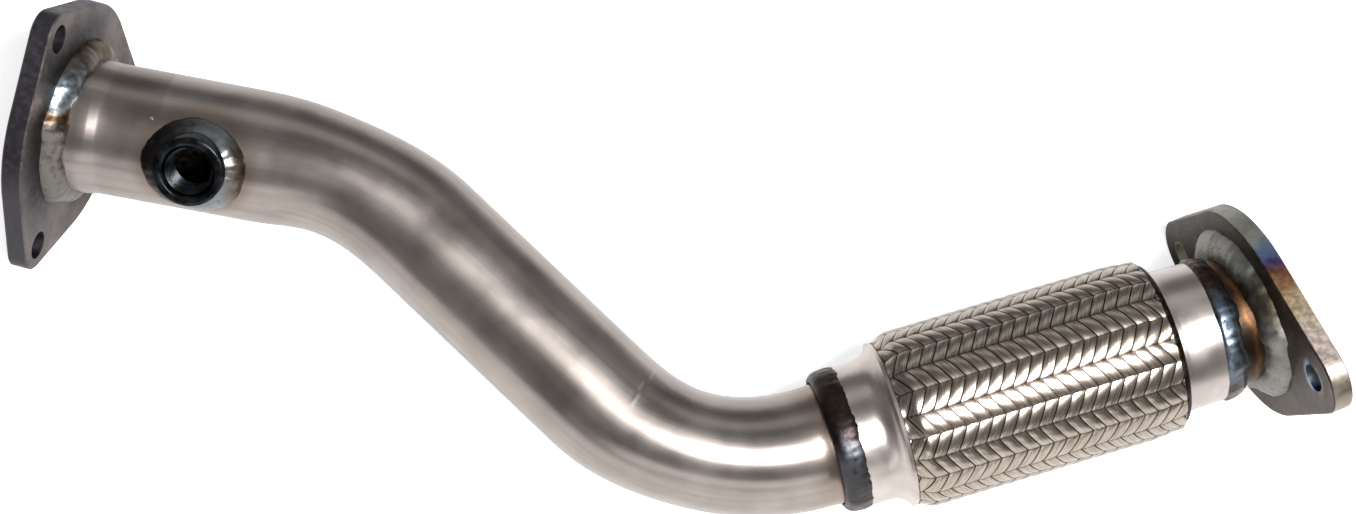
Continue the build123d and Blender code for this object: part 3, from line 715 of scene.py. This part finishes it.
# The tube leans in the inlet flange, so the bead's foot follows the flange's slanted face
inlet_slope = Vector((inlet_axis.z, -inlet_axis.y, inlet_axis.x))
inlet_bead = weld_ring(
    "inlet_bead", 25.9, (6.8, 1.0, 6.8, 1.2),
    lambda x, y: (FLANGE_THICKNESS - inlet_slope.x * x - inlet_slope.y * y) / inlet_slope.z - 0.3,
    (11.0, 0.2, 3.6, 0.1), shape=1.9, turn=2.0,
)
set_down(inlet_bead, tube_place)
smoothed(inlet_bead, 60)
finished(inlet_bead, inlet_weld, "pipe_side", "weld_metal", "inlet_flange_weld")

port_bead = weld_ring(
    "port_bead", 13.3, (6.8, 1.0, 6.0, 1.4),
    lambda x, y: math.sqrt(max(0.0, TUBE_RADIUS ** 2 - y * y)) - 0.5,
    (8.0, 0.16, 3.0, 0.1), round_steps=220, shape=1.9, turn=11.0, thinned=0.45,
)
set_down(port_bead, port_place)
smoothed(port_bead, 60)
finished(port_bead, port_weld_skin, "pipe_side", "weld_metal", "port_weld")

joint_bead = weld_ring(
    "joint_bead", 24.4, (3.6, 1.0, 6.0, 6.2), lambda x, y: 1.2,
    (8.0, 0.1, 3.0, 0.15), shape=2.6, turn=23.0,
)
set_down(joint_bead, coupling_place)
smoothed(joint_bead, 60)
finished(joint_bead, joint_weld, "pipe_side", "weld_metal", "pipe_to_flex_weld")

rear_bead = weld_ring(
    "rear_bead", 25.2, (3.3, 0.8, 7.4, 1.8), lambda x, y: 148.6,
    (9.0, 0.22, 3.4, 0.1), shape=2.0, turn=31.0,
)
set_down(rear_bead, coupling_place)
smoothed(rear_bead, 60)
finished(rear_bead, rear_weld, "outlet_side", "weld_metal", "rear_collar_weld")

outlet_bead = weld_ring(
    "outlet_bead", 25.2, (8.8, 0.9, 6.4, 1.2), lambda x, y: -0.3,
    (11.0, 0.22, 3.6, 0.1), shape=1.9, turn=43.0,
)
set_down(outlet_bead, outlet_place @ Matrix.Rotation(math.pi, 4, "X"))
smoothed(outlet_bead, 60)
finished(outlet_bead, outlet_weld, "outlet_side", "weld_metal", "outlet_flange_weld")

# ---------------------------------------------------------------------------
# Sensor port with its thread
# ---------------------------------------------------------------------------


def turned(name, outline, steps=144):
    """Spins a closed outline of (height, radius) points in millimetres about the z axis."""
    bpy.ops.object.select_all(action="DESELECT")
    bpy.ops.mesh.primitive_circle_add(vertices=len(outline), radius=1 * MM)
    piece = start(name)
    for vertex, (height, radius) in zip(piece.data.vertices, outline):
        vertex.co = Vector((radius, 0, height)) * MM
    bpy.ops.object.mode_set(mode="EDIT")
    bpy.ops.mesh.select_all(action="SELECT")
    bpy.ops.mesh.spin(steps=steps, angle=2 * math.pi, center=(0, 0, 0), axis=(0, 0, 1))
    bpy.ops.object.mode_set(mode="OBJECT")
    closed_up(piece)
    return piece


boss = turned(
    "boss",
    [
        (21.0, 13.5), (33.6, 13.5), (34.15, 13.25), (34.4, 12.7), (34.4, 10.6), (34.25, 10.35),
        (31.9, 9.1), (19.0, 9.1), (19.0, 11.0),
    ],
)
set_down(boss, port_place)
smoothed(boss, 35)
finished(boss, port_steel, "pipe_side", "port_steel", "sensor_port")

# One turn of the thread's outline, from root over its flat crest to the next root
THREAD_PITCH = 1.5
THREAD_START = 19.6
thread_outline = [(0, PORT_BORE_RADIUS), (0.68, 8.25), (0.84, 8.25), (THREAD_PITCH, PORT_BORE_RADIUS)]
bpy.ops.object.select_all(action="DESELECT")
bpy.ops.mesh.primitive_circle_add(vertices=4, radius=1 * MM)
thread = start("thread")
for vertex, (height, radius) in zip(thread.data.vertices, thread_outline):
    vertex.co = Vector((radius, 0, height)) * MM
bpy.ops.object.mode_set(mode="EDIT")
# The circle's edge that joins the two roots goes
thread_mesh = bmesh.from_edit_mesh(thread.data)
for edge in list(thread_mesh.edges):
    if abs(edge.verts[0].co.z - edge.verts[1].co.z) > 1.4 * MM:
        thread_mesh.edges.remove(edge)
bmesh.update_edit_mesh(thread.data)
bpy.ops.object.mode_set(mode="OBJECT")
screw = thread.modifiers.new("screw", "SCREW")
screw.axis = "Z"
screw.angle = 2 * math.pi
screw.screw_offset = THREAD_PITCH * MM
screw.iterations = 8
screw.steps = 72
screw.render_steps = 72
screw.use_merge_vertices = True
bpy.ops.object.modifier_apply(modifier="screw")
thread.data.transform(Matrix.Translation((0, 0, THREAD_START * MM)))
closed_up(thread)
skin = thread.modifiers.new("skin", "SOLIDIFY")
skin.thickness = 0.3 * MM
skin.offset = 0
bpy.ops.object.modifier_apply(modifier="skin")
set_down(thread, port_place)
smoothed(thread, 30)
finished(thread, port_steel, "pipe_side", "port_steel")

# ---------------------------------------------------------------------------
# Braid
# ---------------------------------------------------------------------------

# Each way round the coupling lie as many bundles as there are stripes
STRANDS = 24
BRAID_START, BRAID_FULL, BRAID_FALL, BRAID_END = 22.3, 29, 115, 128.2
BRAID_RADIUS = 33.95
BRAID_GRIP, BRAID_TAPER = 2.4, 1.0
CROSSING_STATION = 70
LAY_RADIUS = 34.2
BUNDLE_LEAN = math.tan(math.radians(60)) / LAY_RADIUS
BUNDLE_WIDTH = 8.5
BUNDLE_CROWN = 0.24
BUNDLE_THICK = 0.5
OVER_HEIGHT = 0.42
DIVE = 0.65
STRIPE = 2 * math.pi / STRANDS


def braid_radius(station):
    """Radius of the braid's middle, gripped small at both ends."""
    if station < BRAID_FULL:
        share = (station - BRAID_START) / (BRAID_FULL - BRAID_START)
        return BRAID_RADIUS - BRAID_GRIP * (1 + math.cos(math.pi * share)) / 2
    if station > BRAID_FALL:
        share = (station - BRAID_FALL) / (BRAID_END - BRAID_FALL)
        return BRAID_RADIUS - BRAID_TAPER * (1 - math.cos(math.pi * share)) / 2
    return BRAID_RADIUS


def bundle(lean, first):
    """One flat bundle of wires from end to end. It lies over the others in every second stripe."""
    bpy.ops.object.select_all(action="DESELECT")
    bpy.ops.mesh.primitive_grid_add(x_subdivisions=190, y_subdivisions=6, size=2)
    piece = start("bundle")
    piece.data.uv_layers[0].name = "strip"
    lift = piece.data.attributes.new("lift", "FLOAT", "POINT")
    for vertex in piece.data.vertices:
        station = BRAID_START + (BRAID_END - BRAID_START) * (vertex.co.x + 1) / 2
        across = vertex.co.y * BUNDLE_WIDTH / 2
        turn = (first + 0.5) * STRIPE + lean * BUNDLE_LEAN * (station - CROSSING_STATION)
        turn += across / LAY_RADIUS
        over = math.sin(math.pi * turn / STRIPE) * lean
        over = math.copysign(abs(over) ** DIVE, over)
        lift.data[vertex.index].value = over
        crown = BUNDLE_CROWN * (1 - vertex.co.y ** 2)
        radius = braid_radius(station) + OVER_HEIGHT * over + crown
        vertex.co = Vector((math.cos(turn) * radius, math.sin(turn) * radius, station)) * MM
    skin = piece.modifiers.new("skin", "SOLIDIFY")
    skin.thickness = BUNDLE_THICK * MM
    skin.offset = 0
    bpy.ops.object.modifier_apply(modifier="skin")
    return piece


bundles = []
for lean in (1, -1):
    for first in (0, 1):
        master = bundle(lean, first)
        for repeat in range(STRANDS // 2):
            piece = master.copy()
            piece.data = master.data.copy()
            piece.data.transform(Matrix.Rotation(2 * repeat * STRIPE, 4, "Z"))
            # Each bundle reads its own part of the streaks
            for point in piece.data.uv_layers["strip"].data:
                point.uv.x = point.uv.x * 40 + 100 * len(bundles)
            bpy.context.collection.objects.link(piece)
            bundles.append(piece)
        bpy.data.objects.remove(master)
bpy.ops.object.select_all(action="DESELECT")
for piece in bundles:
    piece.select_set(True)
bpy.context.view_layer.objects.active = bundles[0]
bpy.ops.object.join()
braid = start("braid")
set_down(braid, coupling_place)
closed_up(braid)

# ---------------------------------------------------------------------------
# What bends with the coupling: each piece is cut in three, and each part is finished where it lies
# ---------------------------------------------------------------------------

# Where the coupling starts and stops bending, and where its pieces are cut
BEND_START, BEND_END = 26.0, 124.0
CUTS = (76.0, 100.0)
PARTS = (
    ("front", None, CUTS[0], "pipe_side", "coupling_core", BEND_START, CUTS[0]),
    ("middle", CUTS[0], CUTS[1], "coupling_core", "braid_sleeve", CUTS[0], CUTS[1]),
    ("rear", CUTS[1], None, "braid_sleeve", "outlet_side", CUTS[1], BEND_END),
)


def in_three(whole, material, slot, node, angle):
    """Cuts a piece square to the coupling in three, and gives each part its shading and finish."""
    axis = coupling_place.to_3x3() @ Vector((0, 0, 1))
    for label, begin, end, body_before, body_after, blend_start, blend_end in PARTS:
        part = whole.copy()
        part.data = whole.data.copy()
        part.name = f"{whole.name}_{label}"
        bpy.context.collection.objects.link(part)
        alone(part)
        bpy.ops.object.mode_set(mode="EDIT")
        for station, keeps_after in ((begin, True), (end, False)):
            if station is not None:
                bpy.ops.mesh.select_all(action="SELECT")
                bpy.ops.mesh.bisect(
                    plane_co=on_coupling(station), plane_no=axis, use_fill=True,
                    clear_inner=keeps_after, clear_outer=not keeps_after,
                )
        bpy.ops.object.mode_set(mode="OBJECT")
        smoothed(part, angle)
        finished(part, material, None, slot, node)
        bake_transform(part)
    bpy.data.objects.remove(whole)


def merged_copy(node, name):
    """A copy of a node's mesh, merged so that it can be cut."""
    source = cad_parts[node]
    piece = bpy.data.objects.new(name, source.data.copy())
    bpy.context.collection.objects.link(piece)
    alone(piece)
    bpy.ops.mesh.customdata_custom_splitnormals_clear()
    closed_up(piece)
    return piece


in_three(braid, wire_steel, "braid_wire", "outer_braid", 60)
in_three(merged_copy("bellows", "folded_tube"), inner_steel, "inner_steel", "bellows", 30)
in_three(merged_copy("inner_mesh", "knitted_sleeve"), inner_steel, "inner_steel", "inner_mesh", 30)
in_three(merged_copy("inner_liner", "strip_liner"), inner_steel, "inner_steel", "inner_liner", 30)

# ---------------------------------------------------------------------------
# Nodes that keep their form
# ---------------------------------------------------------------------------

for node, material in (
    ("inlet_flange", inlet_plate),
    ("outlet_flange", outlet_plate),
    ("outlet_stub", burnt_shaded_stub),
    ("front_collar", collar_sheet),
    ("rear_collar", collar_sheet),
    ("front_sleeve", inner_steel),
    ("rear_sleeve", inner_steel),
    ("braid_end_ring", ring_steel),
):
    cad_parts[node].material_slots[0].material = material

# ---------------------------------------------------------------------------
# Floor, light and camera
# ---------------------------------------------------------------------------

bpy.ops.object.select_all(action="DESELECT")
bpy.ops.mesh.primitive_plane_add(size=6, location=(0.2, 0, FLOOR_Z))
floor = start("floor")
floor_white = bpy.data.materials.new("pale_paper_floor")
floor_white.use_nodes = True
tree = floor_white.node_tree
shader = tree.nodes["Principled BSDF"]
shader.inputs["Base Color"].default_value = linear("e9e9e9")
shader.inputs["Roughness"].default_value = 0.9
shader.inputs["Emission Color"].default_value = (1, 1, 1, 1)
# It glows for the camera alone, so that the picture's ground is white and the part isn't lit by it
rays = add_node(tree, "ShaderNodeLightPath")
plug(tree, shader.inputs["Emission Strength"], add_node(tree, "times", rays.outputs["Is Camera Ray"], 0.7))
floor.data.materials.append(floor_white)

# The camera's place, and its right, up and backward directions
PICTURE_WIDTH_PX, FOCAL_PX = 1356, 2500
SENSOR_WIDTH = 36
azimuth, elevation, roll = (math.radians(a) for a in (-11.556, 69.221, 12.298))
backward = Vector((
    math.sin(azimuth) * math.cos(elevation), -math.cos(azimuth) * math.cos(elevation), math.sin(elevation)
))
level = Vector((math.cos(azimuth), math.sin(azimuth), 0))
upright = backward.cross(level)
camera_right = level * math.cos(roll) + upright * math.sin(roll)
camera_up = upright * math.cos(roll) - level * math.sin(roll)
camera_place = (
    Vector((225, -20, 0)) + camera_right * 15.166 - camera_up * 28.961 + backward * 972.287
) * MM
camera_data = bpy.data.cameras.new("camera")
camera_data.sensor_width = SENSOR_WIDTH
camera_data.lens = SENSOR_WIDTH * FOCAL_PX / PICTURE_WIDTH_PX
camera_data.clip_start = 0.05
camera = bpy.data.objects.new("camera", camera_data)
bpy.context.collection.objects.link(camera)
camera.matrix_world = Matrix.Translation(camera_place) @ Matrix(
    (camera_right, camera_up, backward)
).transposed().to_4x4()
bpy.context.scene.camera = camera


def soft_lamp(name, toward, distance, size, power):
    """A rectangular lamp that faces the part from a direction."""
    data = bpy.data.lights.new(name, "AREA")
    data.shape = "RECTANGLE"
    data.size, data.size_y = size
    data.energy = power
    lamp = bpy.data.objects.new(name, data)
    bpy.context.collection.objects.link(lamp)
    middle = Vector((0.22, -0.05, 0))
    toward = toward.normalized()
    turned_to_part = toward.to_track_quat("Z", "Y").to_matrix().to_4x4()
    lamp.matrix_world = Matrix.Translation(middle + toward * distance) @ turned_to_part


soft_lamp("key", backward + camera_right * 0.34 + camera_up * 0.02, 1.25, (0.7, 0.26), 25)
soft_lamp("upper_fill", backward * 0.35 + camera_up * 0.9, 1.5, (1.6, 0.5), 1.2)
soft_lamp("lower_fill", backward * 0.5 - camera_up * 0.85, 1.5, (1.6, 0.4), 3.2)

world = bpy.data.worlds.new("studio")
bpy.context.scene.world = world
world.use_nodes = True
world.node_tree.nodes["Background"].inputs["Color"].default_value = linear("d8d8da")
world.node_tree.nodes["Background"].inputs["Strength"].default_value = 0.28

bpy.context.scene.view_settings.view_transform = "Standard"
